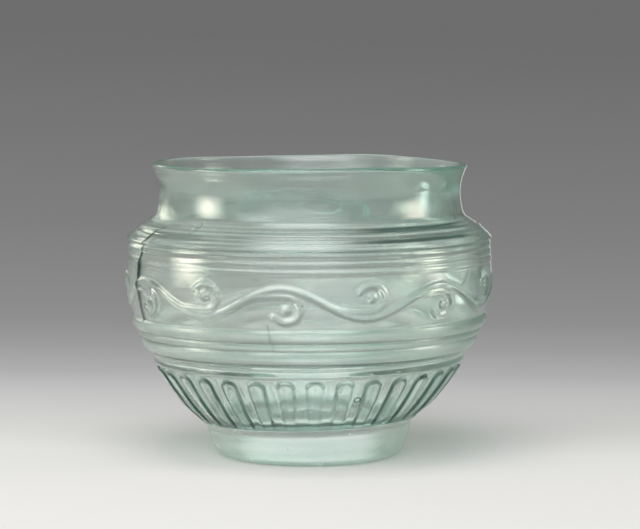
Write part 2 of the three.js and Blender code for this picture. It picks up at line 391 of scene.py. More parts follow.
def split_columns(piece, low, high, cuts):
    """Cuts the level edges between two places on the outline, so that this belt has finer columns."""
    bpy.ops.object.mode_set(mode="EDIT")
    bpy.ops.mesh.select_all(action="DESELECT")
    bpy.ops.mesh.select_mode(type="EDGE")
    skin = bmesh.from_edit_mesh(piece.data)
    place = skin.verts.layers.float["outline"]
    for edge in skin.edges:
        a, b = (v[place] for v in edge.verts)
        edge.select_set(abs(a - b) < 0.5 and low - 0.5 < a < high + 0.5)
    bmesh.update_edit_mesh(piece.data)
    bpy.ops.mesh.subdivide(number_cuts=cuts)
    bpy.ops.mesh.select_all(action="DESELECT")
    bpy.ops.mesh.select_mode(type="VERT")
    bpy.ops.object.mode_set(mode="OBJECT")


def rise(share):
    """A smooth step from 0 to 1."""
    share = min(max(share, 0.0), 1.0)
    return share * share * (3 - 2 * share)


def aside_share(turn):
    """0 in front of and behind the cup, and 1 at its sides, where the mould's edges are sharp."""
    return rise(abs(math.cos(turn)) / SHARP_SIDE)


def tongue_stand(share, turn, radius):
    """How high a tongue stands at a place, and how dark the painted shade of its crease is there. share runs
    up the belt from
    0 to 1, and turn counts tongues."""
    length = math.hypot(TONGUE_TOP_RADIUS - BASE_BAND_RADIUS, TONGUE_TOP - TONGUE_FOOT)
    pitch = 2 * math.pi * radius / TONGUE_COUNT
    half = TONGUE_FILL / 2 * pitch
    across = (turn - round(turn)) * pitch
    past_arch = share * length - (length - TONGUE_TOP_GAP - half)
    inward = half - math.hypot(across, max(past_arch, 0.0))
    crown = TONGUE_EDGE_SHARE + TONGUE_MIDDLE_SHARE * (1 - min(abs(across) / half, 1.0) ** 2)
    azimuth = 2 * math.pi * (turn + TONGUE_PHASE) / TONGUE_COUNT
    worn = between(WORN_FRONT, 1.0, aside_share(azimuth))
    from_foot = between(TONGUE_FOOT_SHARE, 1.0, rise(share * TONGUE_FOOT_RISE))
    stand = TONGUE_RELIEF * rise(inward / TONGUE_SCARP) * crown * worn * from_foot
    near = rise(0.5 - math.cos(azimuth) * across / half)
    middle, half_width = (between(far, close, near) for far, close in zip(CREASE_FAR, CREASE_NEAR))
    crease_shade = min(max(2 * (1 - abs(inward - middle) / half_width), 0.0), 1.0)
    sharp = (worn - WORN_FRONT) / (1 - WORN_FRONT)
    return stand, crease_shade * between(CREASE_WORN, CREASE_SHARP, sharp)


def valley_shade(turn, level):
    """How dark the painted shade in a valley beside the ribs is."""
    if level >= LOWER_RIB_FOOT + 0.1:
        return VALLEY_SHADE
    lowest = between(LOWEST_FRONT, LOWEST_SIDE, aside_share(turn))
    return lowest + LOWEST_RIGHT * rise(math.cos(turn) * 3)


def band_reach(aside, reach):
    """How strongly a dark band shows at a place that lies aside of the middle by a share of the radius."""
    start, end, start_fade, end_fade = reach
    return rise((aside - start) / start_fade) * rise((end - aside) / end_fade)


def shoulder_shade(turn, level):
    """How dark the painted shade on the shoulder's steps is at a place: two bands at the front right, and one
    at its left.
    """
    if math.sin(turn) >= 0:
        return 0.0
    upper, lower = (rise(2 * (1 - abs(level - at) / half)) for at, half in (UPPER_BAND, LOWER_BAND))
    right = RIGHT_DARKNESS * band_reach(math.cos(turn), RIGHT_REACH)
    left = LEFT_DARKNESS * band_reach(-math.cos(turn), LEFT_REACH)
    return max(right * max(upper, lower), left * lower)


def inner_stand(turn, level):
    """How the hollow follows the tongues. turn counts tongues."""
    belt = rise((level - INNER_BELT[0]) / INNER_FADE) * rise((INNER_BELT[1] - level) / INNER_FADE)
    return -INNER_RELIEF * belt * math.cos(2 * math.pi * turn)


def wave_at(place, lengths, start):
    """A smooth wave through space, from about -1 to 1. lengths is how long it is along X, Y and Z."""
    return noise.noise(Vector([along / length for along, length in zip(place, lengths)]) + Vector(start))


def lip_sag(turn, level):
    """How far the open end of the neck sags, more at one side than at the other."""
    share = max(level - NECK_BASE, 0.0) / (LIP - NECK_BASE)
    around, start = SAG_PLACE
    sway = noise.noise(Vector((math.cos(turn) * around, math.sin(turn) * around, start)))
    return LIP_SAG * share * share * (1.0 + sway)


def seat_lift(x, level):
    """How far the askew weld lifts the glass at a place, in millimetres."""
    fade = math.exp(-max(level - FOOT_TOP, 0.0) / LEAN_FADE)
    return SEAT_LEAN * x * fade * min(level / FOOT_TOP, 1.0)


# One tendril of the scroll, from its fork with the stem to its eye, off the eye's own place.
TENDRIL = (
    (-11.9, -1.1),
    (-8.0, -2.7),
    (-4.8, -3.0),
    (-1.5, -3.2),
    (1.9, -2.6),
    (3.6, 0.0),
    (2.3, 2.7),
    (-0.8, 3.3),
    (-3.0, 1.9),
)


def scroll_strokes():
    """The centre lines of the running scroll as strokes of length round the wall and level, and its berries.

    A wavy stem runs round the band. In each of its hollows a tendril forks off and curls round a berry."""
    middle = (UPPER_RIB_TOP + FRIEZE_TOP) / 2 + 0.1
    pitch = 2 * math.pi * FRIEZE_TOP_RADIUS / SCROLL_COUNT
    strokes, berries = [], []
    for i in range(SCROLL_COUNT):
        up = 1 if i % 2 else -1
        shares = [k / 40 for k in range(41)]
        strokes.append([
            (pitch * (i + share), middle - up * STEM_SWING * math.sin(math.pi * share)) for share in shares
        ])
        eye = (pitch * (i + 0.55), middle + up * 1.1)
        curl = [(eye[0] + u, eye[1] + up * v) for u, v in TENDRIL]
        strokes.append([curl[0], *smooth(curl, 10)])
        berries.append((eye[0] + 0.15, eye[1] + up * 0.35))
    return strokes, berries


def look_up(spots):
    """A tree that finds the nearest of some places on the band, which closes on itself."""
    around = 2 * math.pi * FRIEZE_TOP_RADIUS
    tree = kdtree.KDTree(len(spots) * 3)
    for i, (u, v) in enumerate(spots):
        for k in (-1, 0, 1):
            tree.insert(Vector((u % around + k * around, v, 0)), i)
    tree.balance()
    return tree


def scroll_trees():
    """Trees that find the nearest place on a stroke, and the nearest berry."""
    strokes, berries = scroll_strokes()
    spots = []
    for stroke in strokes:
        for (u0, v0), (u1, v1) in zip(stroke, stroke[1:]):
            spots += [(between(u0, u1, k / 4), between(v0, v1, k / 4)) for k in range(4)]
    return look_up(spots), look_up(berries)


def scroll_stand(trees, turn, level):
    """How high the scroll stands at a place on the band. A berry is higher than the stem by its own share."""
    share_round = (turn / (2 * math.pi) + SCROLL_PHASE / SCROLL_COUNT) % 1
    spot = Vector((share_round * 2 * math.pi * FRIEZE_TOP_RADIUS, level, 0))
    from_line = trees[0].find(spot)[2] / SCROLL_HALF_WIDTH
    from_berry = trees[1].find(spot)[2] / BERRY_RADIUS
    bar = max(1 - from_line * from_line, 0.0) ** 0.8
    bead = BERRY_HEIGHT * max(1 - from_berry * from_berry, 0.0) ** 0.7
    return SCROLL_RELIEF * max(bar, bead)


def shape_bowl(piece, points, zones):
    """Gives the spun wall the mould's relief, and the slight unevenness of blown glass."""
    worn_points = bowl_outline(turned=FAINTEST_RINGS)[0]
    trees = scroll_trees()
    belt_foot, belt_head = zones.index("tongues"), last_of(zones, "tongues")
    normals = outline_normals(points)
    # This attribute holds painted shade: the dark lines of the tongues' creases, the valleys and the
    # shoulder's steps.
    crease_shades = piece.data.attributes.new("crease_shade", "FLOAT", "POINT").data
    layer = piece.data.attributes["outline"].data
    for v in piece.data.vertices:
        i = round(layer[v.index].value)
        radius, level = points[i]
        if radius < 0.01:
            v.co = (0, 0, level * MM)
            continue
        turn = math.atan2(v.co.y, v.co.x)
        zone, normal = zones[i], normals[i]
        if zone in TURNED_ZONES:
            clear = rise((math.cos(turn) - RINGS_FROM) / (RINGS_TO - RINGS_FROM))
            radius = between(worn_points[i][0], radius, clear)
            level = between(worn_points[i][1], level, clear)
        tongues = turn / (2 * math.pi) * TONGUE_COUNT - TONGUE_PHASE
        place = Vector((math.cos(turn) * radius, math.sin(turn) * radius, level))
        stand = crease_shade = 0.0
        if zone == "tongues":
            share = (i - belt_foot + 1) / (belt_head - belt_foot + 1)
            stand, crease_shade = tongue_stand(share, tongues, radius)
        elif zone == "valleys":
            crease_shade = valley_shade(turn, level)
        elif zone == "frieze":
            stand = scroll_stand(trees, turn, level)
        elif zone == "inner":
            stand = inner_stand(tongues, level)
        elif zone in TURNED_ZONES:
            stand = STEP_WAVE * wave_at(place, STEP_LENGTHS, STEP_START)
            crease_shade = shoulder_shade(turn, level)
        wave = noise.noise(place / WAVE_LENGTH + Vector(WAVE_START))
        if zone in FREE_ZONES:
            free = min(max((level - FREE_FROM) / FREE_FADE, 0.0), 1.0)
            stand += (FREE_WAVE * wave + RIPPLE * wave_at(place, RIPPLE_LENGTHS, RIPPLE_START)) * free
        elif zone not in PLAIN_ZONES:
            stand += PRESSED_WAVE * wave
        sag = lip_sag(turn, level)
        radius += normal.x * stand
        level += normal.y * stand - sag
        if zone == "seat":
            level = FOOT_TOP
        level += seat_lift(math.cos(turn) * radius, level)
        crease_shades[v.index].value = crease_shade
        aside = HOLLOW_SHIFT * rise((level - SHIFT_FROM) / SHIFT_FADE) if zone == "inner" else 0.0
        v.co = ((math.cos(turn) * radius - aside) * MM, math.sin(turn) * radius * MM, level * MM)
    piece.data.update()


def finish_piece(piece, node):
    """Smooth shading, the piece's body, and the model's node that it stands for, hidden."""
    bpy.ops.object.select_all(action="DESELECT")
    bpy.context.view_layer.objects.active = piece
    piece.select_set(True)
    bpy.ops.object.shade_smooth()
    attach(piece, "root")
    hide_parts(node)


def make_bowl():
    """The blown bowl, with finer columns where the tongues and the frieze are worked."""
    points, zones = bowl_outline()
    piece = draw_outline("blown_bowl", points, closed=False)
    turn_round(piece, COLUMNS)
    for start, end, split in (("base", "tongues", TONGUE_SPLIT), ("frieze", "frieze", FRIEZE_SPLIT)):
        low = zones.index(start)
        split_columns(piece, low, last_of(zones, end), split - 1)
    shape_bowl(piece, points, zones)
    finish_piece(piece, "bowl")
    return piece


def foot_outline():
    """The foot ring's section, from the inner edge of its resting face all the way round."""
    top = FOOT_TOP - WELD_FILM
    points = [(REST_INNER_RADIUS, 0.0)]
    points += line(points[-1], (REST_OUTER_RADIUS, 0.0), 2)
    for i in range(1, 9):
        angle = math.pi / 2 * i / 8
        points.append((
            REST_OUTER_RADIUS + (FOOT_EDGE_RADIUS - REST_OUTER_RADIUS) * math.sin(angle),
            FOOT_EDGE_LEVEL * (1 - math.cos(angle)),
        ))
    points += bulged(points[-1], (FOOT_TOP_RADIUS, FOOT_TOP - 0.4), 0.3, 8)
    points += bulged(points[-1], (BASE_BAND_RADIUS - 0.15, LAP_TOP), -0.12, 5)
    points += bulged(points[-1], (BASE_BAND_RADIUS - LAP + WELD_FILM, LAP_TOP), 0.08, 2)
    points += line(points[-1], (FOOT_TOP_RADIUS - LAP + WELD_FILM, top), 3)
    points += line(points[-1], (SEAT_INNER_RADIUS + 0.4, top), 3)
    points += bulged(points[-1], (SEAT_INNER_RADIUS - 0.2, top - 0.6), 0.1, 2)
    points += smooth([points[-1], (20.9, 4.6), (19.4, 1.2), (REST_INNER_RADIUS, 0.0)], 5)
    return points[:-1]


def make_foot():
    """The foot ring, with its edge lapped over the bowl."""
    points = foot_outline()
    piece = draw_outline("welded_foot_ring", [*points, points[0]], closed=True)
    turn_round(piece, COLUMNS)
    for v in piece.data.vertices:
        level = v.co.z / MM
        turn = math.atan2(v.co.y, v.co.x)
        share = min(level / FOOT_TOP, 1.0)
        free = 4 * share * (1 - share)
        if level > FOOT_TOP and math.hypot(v.co.x, v.co.y) > (BASE_BAND_RADIUS - LAP / 2) * MM:
            place = Vector((v.co.x, v.co.y, 0)) / MM
            v.co.z += LAP_WAVE * noise.noise(place / LAP_WAVE_LENGTH) * MM
        around = Vector((math.cos(turn) * 1.3, math.sin(turn) * 1.3, level * 0.25))
        radius = math.hypot(v.co.x, v.co.y)
        radius += FOOT_WAVE * MM * free * noise.noise(around + Vector((1.7, 4.1, 0)))
        v.co.x = math.cos(turn) * radius
        v.co.y = math.sin(turn) * radius
        v.co.z += seat_lift(v.co.x / MM, level) * MM
    finish_piece(piece, "foot_ring")
    return piece


def feed(tree, socket, value):
    """Links an output to a socket, or writes a plain value on it."""
    if isinstance(value, bpy.types.NodeSocket):
        tree.links.new(value, socket)
    else:
        socket.default_value = value


def object_place(tree):
    """The place on the object."""
    return tree.nodes.new("ShaderNodeTexCoord").outputs["Object"]


def axes(tree, place):
    """The X, Y and Z of a place."""
    split = tree.nodes.new("ShaderNodeSeparateXYZ")
    tree.links.new(place, split.inputs["Vector"])
    return [split.outputs[axis] for axis in "XYZ"]


def stretched(tree, place, scale, shift=(0, 0, 0)):
    """A place scaled along each axis, and then shifted."""
    step = tree.nodes.new("ShaderNodeMapping")
    step.inputs["Location"].default_value = shift
    step.inputs["Scale"].default_value = scale
    tree.links.new(place, step.inputs["Vector"])
    return step.outputs["Vector"]


def noise_at(tree, place, cells, detail):
    """Cloudy noise at a place."""
    step = tree.nodes.new("ShaderNodeTexNoise")
    step.inputs["Scale"].default_value = cells
    step.inputs["Detail"].default_value = detail
    tree.links.new(place, step.inputs["Vector"])
    return step.outputs["Fac"]


def work_out(tree, operation, *values):
    """One step of arithmetic on numbers and outputs."""
    step = tree.nodes.new("ShaderNodeMath")
    step.operation = operation
    for socket, value in zip(step.inputs, values):
        feed(tree, socket, value)
    return step.outputs[0]


def ramp(tree, value, start, end, first=0.0, last=1.0, soft=False):
    """Runs from first to last while a value runs from start to end, and stays there outside them."""
    step = tree.nodes.new("ShaderNodeMapRange")
    step.interpolation_type = "SMOOTHSTEP" if soft else "LINEAR"
    for label, bound in (("From Min", start), ("From Max", end), ("To Min", first), ("To Max", last)):
        step.inputs[label].default_value = bound
    tree.links.new(value, step.inputs["Value"])
    return step.outputs["Result"]


def mixed(tree, share, a, b):
    """A colour on the way from a to b, each of them three numbers or an output."""
    step = tree.nodes.new("ShaderNodeMix")
    step.data_type = "RGBA"
    tree.links.new(share, step.inputs["Factor"])
    for label, colour in (("A", a), ("B", b)):
        feed(tree, step.inputs[label], (*colour, 1) if isinstance(colour, tuple) else colour)
    return step.outputs["Result"]


def use_group(tree, group, **values):
    """The outputs of a node group whose inputs have these values."""
    step = tree.nodes.new("ShaderNodeGroup")
    step.node_tree = group
    for label, value in values.items():
        step.inputs[label].default_value = value
    return step.outputs


def socket_group(name, ins, outs):
    """A new shader node group, the outputs that give what goes in, and the inputs for what comes out."""
    group = bpy.data.node_groups.new(name, "ShaderNodeTree")
    for label, kind, value in ins:
        group.interface.new_socket(label, in_out="INPUT", socket_type=kind).default_value = value
    for label in outs:
        group.interface.new_socket(label, in_out="OUTPUT", socket_type="NodeSocketFloat")
    return group, group.nodes.new("NodeGroupInput").outputs, group.nodes.new("NodeGroupOutput").inputs


# The surface of blown glass, in cells a metre. A pit's edge is in shares of its cell, and a cell has a pit
# where its lot is over the share.
STRIAE_CELLS = (22, 22, 260)
SWELL_CELLS = 90.0
PIT_CELLS = 260.0
PIT_EDGE = (0.03, 0.10)
PIT_LOT = 0.86
HAZE_CELLS = 160.0
HAZE_EDGE = (0.42, 0.75)


def blown_surface():
    """Height and haze of blown glass: long shallow striae round the axis, fine weathering and small pits."""
    group, given, result = socket_group(
        "blown_surface",
        [("Striae", "NodeSocketFloat", 1.0), ("Pits", "NodeSocketFloat", 1.0)],
        ["Height", "Haze"],
    )
    where = object_place(group)
    striae = noise_at(group, stretched(group, where, STRIAE_CELLS), 1.0, 2.0)
    swell = noise_at(group, where, SWELL_CELLS, 1.0)
    cells = group.nodes.new("ShaderNodeTexVoronoi")
    cells.inputs["Scale"].default_value = PIT_CELLS
    group.links.new(where, cells.inputs["Vector"])
    lots = group.nodes.new("ShaderNodeSeparateColor")
    group.links.new(cells.outputs["Color"], lots.inputs["Color"])
    dot = ramp(group, cells.outputs["Distance"], *PIT_EDGE, 1.0, 0.0)
    pit = work_out(group, "MULTIPLY", dot, work_out(group, "GREATER_THAN", lots.outputs["Red"], PIT_LOT))
    depth = work_out(group, "MULTIPLY", pit, given["Pits"])
    waves = work_out(group, "MULTIPLY_ADD", striae, given["Striae"], swell)
    group.links.new(work_out(group, "SUBTRACT", waves, depth), result["Height"])
    group.links.new(ramp(group, noise_at(group, where, HAZE_CELLS, 5.0), *HAZE_EDGE), result["Haze"])
    return group


# How far a crack strays from its path, in metres, and the cells a metre of its bends.
CRACK_DRIFT = 0.0016
CRACK_CELLS = 220.0


def hairline():
    """Mask of a fine crack that climbs the wall, on both of its sides. Angles in radians, sizes in metres."""
    group, given, result = socket_group(
        "hairline",
        [
            ("Azimuth", "NodeSocketFloat", 0.0),
            ("Lean", "NodeSocketFloat", 0.0),
            ("Foot", "NodeSocketFloat", 0.0),
            ("Head", "NodeSocketFloat", 0.01),
            ("Width", "NodeSocketFloat", 0.0002),
        ],
        ["Mask"],
    )

    def step(operation, *values):
        return work_out(group, operation, *values)

    where = object_place(group)
    x, y, z = axes(group, where)
    from_axis = step("SQRT", step("ADD", step("POWER", x, 2.0), step("POWER", y, 2.0)))
    path = step("ADD", given["Azimuth"], step("MULTIPLY", step("SUBTRACT", z, given["Foot"]), given["Lean"]))
    away = step("MULTIPLY", step("SUBTRACT", step("ARCTAN2", y, x), path), from_axis)
    bend = step("SUBTRACT", noise_at(group, where, CRACK_CELLS, 1.0), 0.5)
    strayed = step("ADD", away, step("MULTIPLY", bend, CRACK_DRIFT))
    gap = step("DIVIDE", step("ABSOLUTE", strayed), given["Width"])
    along = step("MULTIPLY", step("GREATER_THAN", z, given["Foot"]), step("LESS_THAN", z, given["Head"]))
    group.links.new(step("MULTIPLY", along, ramp(group, gap, 0.5, 1.0, 1.0, 0.0)), result["Mask"])
    return group


# Where the painted shade of a bubble's dark rim lies and its half width, in shares of the bubble's size.
BUBBLE_RIM = 0.82
BUBBLE_RIM_HALF = 0.20


def bubble():
    """Mask of the painted shade at the rim of an air bubble caught in the wall. Centre and Size in metres."""
    group, given, result = socket_group(
        "bubble",
        [("Centre", "NodeSocketVector", (0.0, 0.0, 0.0)), ("Size", "NodeSocketFloat", 0.0006)],
        ["Mask"],
    )
    far = group.nodes.new("ShaderNodeVectorMath")
    far.operation = "DISTANCE"
    group.links.new(object_place(group), far.inputs[0])
    group.links.new(given["Centre"], far.inputs[1])
    ratio = work_out(group, "DIVIDE", far.outputs["Value"], given["Size"])
    group.links.new(work_out(group, "COMPARE", ratio, BUBBLE_RIM, BUBBLE_RIM_HALF), result["Mask"])
    return group


SURFACE = blown_surface()
HAIRLINE = hairline()
BUBBLE = bubble()

# Old cracks that were joined again: degrees round from the right, lean in degrees a millimetre, foot and
# head levels and width in millimetres.
HAIRLINES = (
    (-155.6, 0.0, 37.0, 53.0, 1.25),
    (-155.6, 0.76, 53.0, 61.0, 0.70),
    (-100.9, -0.28, 32.4, 39.3, 0.07),
    (-131.0, 0.0, 60.4, 62.4, 0.20),
)

# Bubbles in the wall: degrees round from the right, radius, level and size in millimetres.
BUBBLES = (
    (-70.1, 36.05, 18.8, 0.97),
    (-105.0, 30.0, 11.6, 0.35),
    (-57.7, 48.2, 43.2, 0.35),
    (-137.5, 48.0, 41.6, 0.35),
    (20.0, 48.0, 47.0, 0.45),
    (64.0, 41.0, 70.0, 0.40),
    (118.0, 36.0, 18.0, 0.50),
)


# The sharp creases of the relief are painted darker. This is painted shade for the dark lines that refraction
# draws there, and partly the old soil that stays in them.
PAINTED_CREASE_SHADE = (0.008, 0.07, 0.048)

# The glass is painted nearly black-green along a crack, and round a bubble as painted shade at its rim.
MARK_TINT = (0.010, 0.045, 0.035)

# The glass is a little darker where it is cloudy.
CLOUD_TINT = (0.90, 0.965, 0.935)

# The wall is painted darker than the body from the shoulder's edge up to the neck's waist and above it.
NECK_TINT = (0.84, 0.91, 0.87)

# How rough the ribs are: they are rubbed more than the rest, because they stand out.
RIB_ROUGHNESS = 0.24

# What one face of the glass lets straight through of a lamp's light. The rest is bent away or thrown back.
STRAIGHT_THROUGH = (0.88, 0.90, 0.895)

# The foot's streaks in cells a metre, how strong the noise is where one starts and where it is full, and the
# levels over which the paler band under the weld comes up.
STREAK_CELLS = (34, 34, 420)
STREAK_EDGE = (0.40, 0.66)
PALE_BAND = (6.4 * MM, 8.2 * MM)


def glass(name, tint, density, base, milk, clear_rough, hazy_rough, striae, pits, bump, marked=False):
    """Glass whose colour comes from the length of the path inside it. milk is its cloudy share. A marked
    glass has the satin ribs, the creases and the cracks of the wall."""
    material = bpy.data.materials.new(name)
    material.use_nodes = True
    tree = material.node_tree
    shader = tree.nodes["Principled BSDF"]
    shader.inputs["Base Color"].default_value = (*base, 1)
    shader.inputs["Transmission Weight"].default_value = 1 - milk
    shader.inputs["IOR"].default_value = 1.5
    surface = use_group(tree, SURFACE, Striae=striae, Pits=pits)
    rough = ramp(tree, surface["Haze"], 0.0, 1.0, clear_rough, hazy_rough)
    tree.links.new(satin_ribs(tree, rough) if marked else rough, shader.inputs["Roughness"])
    dent = tree.nodes.new("ShaderNodeBump")
    dent.inputs["Strength"].default_value = 1.0
    dent.inputs["Distance"].default_value = bump
    tree.links.new(surface["Height"], dent.inputs["Height"])
    tree.links.new(dent.outputs["Normal"], shader.inputs["Normal"])
    inside = tree.nodes.new("ShaderNodeVolumeAbsorption")
    inside.inputs["Color"].default_value = (*tint, 1)
    inside.inputs["Density"].default_value = density
    tree.links.new(inside.outputs["Volume"], tree.nodes["Material Output"].inputs["Volume"])
    if marked:
        tint_and_shade_wall(tree, surface["Haze"], base)
    let_lamps_through(tree)
    return material


def satin_ribs(tree, rough):
    """The roughness of the wall, with the band of the ribs brought up to a satin."""
    level = axes(tree, object_place(tree))[2]
    over_foot = ramp(tree, level, (LOWER_RIB_FOOT - 0.6) * MM, (LOWER_RIB_FOOT + 0.4) * MM, soft=True)
    under_top = ramp(tree, level, (UPPER_RIB_TOP + 1.2) * MM, UPPER_RIB_TOP * MM, soft=True)
    band = work_out(tree, "MULTIPLY", under_top, work_out(tree, "MULTIPLY", over_foot, RIB_ROUGHNESS))
    return work_out(tree, "MAXIMUM", band, rough)


def let_lamps_through(tree):
    """Lets the lamps' light pass the glass, so that it reaches the far wall and the table under the cup."""
    clear = tree.nodes.new("ShaderNodeBsdfTransparent")
    clear.inputs["Color"].default_value = (*STRAIGHT_THROUGH, 1)
    ray = tree.nodes.new("ShaderNodeLightPath")
    either = tree.nodes.new("ShaderNodeMixShader")
    tree.links.new(ray.outputs["Is Shadow Ray"], either.inputs["Fac"])
    tree.links.new(tree.nodes["Principled BSDF"].outputs["BSDF"], either.inputs[1])
    tree.links.new(clear.outputs["BSDF"], either.inputs[2])
    tree.links.new(either.outputs["Shader"], tree.nodes["Material Output"].inputs["Surface"])


def tint_and_shade_wall(tree, haze, base):
    """Darkens the wall at the neck and where it is cloudy, paints shade into its creases and round bubbles,
    and darkens it along cracks.
    """
    masks = []
    for degrees, lean, foot, head, width in HAIRLINES:
        crack = use_group(tree, HAIRLINE, Azimuth=math.radians(degrees), Lean=math.radians(lean) / MM,
                          Foot=foot * MM, Head=head * MM, Width=width * MM)
        masks.append(crack["Mask"])
    for degrees, radius, level, size in BUBBLES:
        turn = math.radians(degrees)
        centre = Vector((math.cos(turn) * radius, math.sin(turn) * radius, level)) * MM
        masks.append(use_group(tree, BUBBLE, Centre=centre, Size=size * MM)["Mask"])
    mark_shade = masks[0]
    for mask in masks[1:]:
        mark_shade = work_out(tree, "MAXIMUM", mark_shade, mask)
    crease_shade = tree.nodes.new("ShaderNodeAttribute")
    crease_shade.attribute_name = "crease_shade"
    up = ramp(tree, axes(tree, object_place(tree))[2], SHOULDER_EDGE * MM, NECK_WAIST * MM, soft=True)
    paint = mixed(tree, up, base, NECK_TINT)
    paint = mixed(tree, haze, paint, CLOUD_TINT)
    # Painted shade in the creases, then along cracks and round bubbles.
    paint = mixed(tree, crease_shade.outputs["Fac"], paint, PAINTED_CREASE_SHADE)
    paint = mixed(tree, mark_shade, paint, MARK_TINT)
    tree.links.new(paint, tree.nodes["Principled BSDF"].inputs["Base Color"])


def streak_foot(tree, dull, bright):
    """Level streaks of paler glass round the foot, and a paler band under the weld."""
    where = object_place(tree)
    streak = ramp(tree, noise_at(tree, stretched(tree, where, STREAK_CELLS), 1.0, 3.0), *STREAK_EDGE)
    band = ramp(tree, axes(tree, where)[2], *PALE_BAND, soft=True)
    paint = mixed(tree, work_out(tree, "MAXIMUM", streak, band), dull, bright)
    tree.links.new(paint, tree.nodes["Principled BSDF"].inputs["Base Color"])


def wear(piece, material):
    piece.data.materials.clear()
    piece.data.materials.append(material)


# The studio: a pale sweep, painted darker as it rises as painted shade of the light's fall-off, and softboxes
# round it, in metres. The sweep takes light and shadow as far back as the first of the even places, and shows
# its own tone from the second on.
FLOOR_FRONT = -1.4
SWEEP_START = 0.30
SWEEP_RADIUS = 0.75
SWEEP_TOP = 1.6
SWEEP_HALF_WIDTH = 0.45
SWEEP_STEPS = 24
EVEN_FROM = 0.02
EVEN_TO = 0.14


def make_sweep():
    """The table, and the backdrop that it curves up into, as one sheet."""
    bpy.ops.object.select_all(action="DESELECT")
    bpy.ops.mesh.primitive_plane_add(size=1)
    sweep = bpy.context.object
    sweep.name = "studio_sweep"
    sweep.data.transform(Matrix.Diagonal((2 * SWEEP_HALF_WIDTH, SWEEP_START - FLOOR_FRONT, 1, 1)))
    sweep.data.transform(Matrix.Translation((0, (SWEEP_START + FLOOR_FRONT) / 2, 0)))
    bpy.ops.object.mode_set(mode="EDIT")
    bpy.ops.mesh.select_all(action="DESELECT")
    skin = bmesh.from_edit_mesh(sweep.data)
    for edge in skin.edges:
        edge.select_set(all(v.co.y > SWEEP_START - 0.01 for v in edge.verts))
    bmesh.update_edit_mesh(sweep.data)
    here = Vector((0, SWEEP_START, 0))
    for i in range(1, SWEEP_STEPS + 1):
        angle = math.pi / 2 * i / SWEEP_STEPS
        back, up = SWEEP_RADIUS * math.sin(angle), SWEEP_RADIUS * (1 - math.cos(angle))
        there = Vector((0, SWEEP_START + back, up))
        bpy.ops.mesh.extrude_region_move(TRANSFORM_OT_translate={"value": there - here})
        here = there
    bpy.ops.mesh.extrude_region_move(TRANSFORM_OT_translate={"value": (0, 0, SWEEP_TOP - here.z)})
    bpy.ops.object.mode_set(mode="OBJECT")
    bpy.ops.object.shade_smooth()
    return sweep


# The sweep's tones as the camera sees them, from the floor in front of the cup to the top of the backdrop,
# with the light's fall-off painted in as shade.
# Each is a place along the sweep, in metres back from the cup and then up, and a linear grey.
SWEEP_TONES = (
    (-0.15, 0.84),
    (0.0, 0.85),
    (0.05, 0.71),
    (0.15, 0.43),
    (0.22, 0.335),
    (0.30, 0.275),
    (0.50, 0.215),
    (0.80, 0.154),
)

# How much sooner the sweep's painted shade darkens it at the right than at the left.
SWEEP_SKEW = 0.10

# The patch of the table under and behind the cup that looks bright through the glass, a painted pool of the
# light that the bowl gathers there, in metres, how much brighter than the paper it is at its middle, and how
# far out it is at its full. It is never over white.
GLOW_BACK = 0.035
GLOW_WIDTH = 0.027
GLOW_DEPTH = 0.085
GLOW_GAIN = 0.12
GLOW_FULL = 0.70


def sweep_tone(tree, along):
    """The paper's colour at a place along the sweep, with the painted shade of the light's fall-off in it."""
    first, last = SWEEP_TONES[0][0], SWEEP_TONES[-1][0]
    shade = tree.nodes.new("ShaderNodeValToRGB")
    stops = shade.color_ramp.elements
    while len(stops) < len(SWEEP_TONES):
        stops.new(0.5)
    for stop, (spot, grey) in zip(stops, SWEEP_TONES):
        stop.position = (spot - first) / (last - first)
        stop.color = (grey, grey, grey, 1)
    tree.links.new(ramp(tree, along, first, last), shade.inputs["Fac"])
    return shade.outputs["Color"]


def under_cup(tree, where):
    """1 in the patch of the table that shows through the cup, and 0 outside it."""
    scale = (1 / GLOW_WIDTH, 1 / GLOW_DEPTH, 1 / GLOW_WIDTH)
    off = tree.nodes.new("ShaderNodeVectorMath")
    off.operation = "LENGTH"
    tree.links.new(stretched(tree, where, scale, (0, -GLOW_BACK / GLOW_DEPTH, 0)), off.inputs[0])
    return ramp(tree, off.outputs["Value"], 1.0, GLOW_FULL, soft=True)


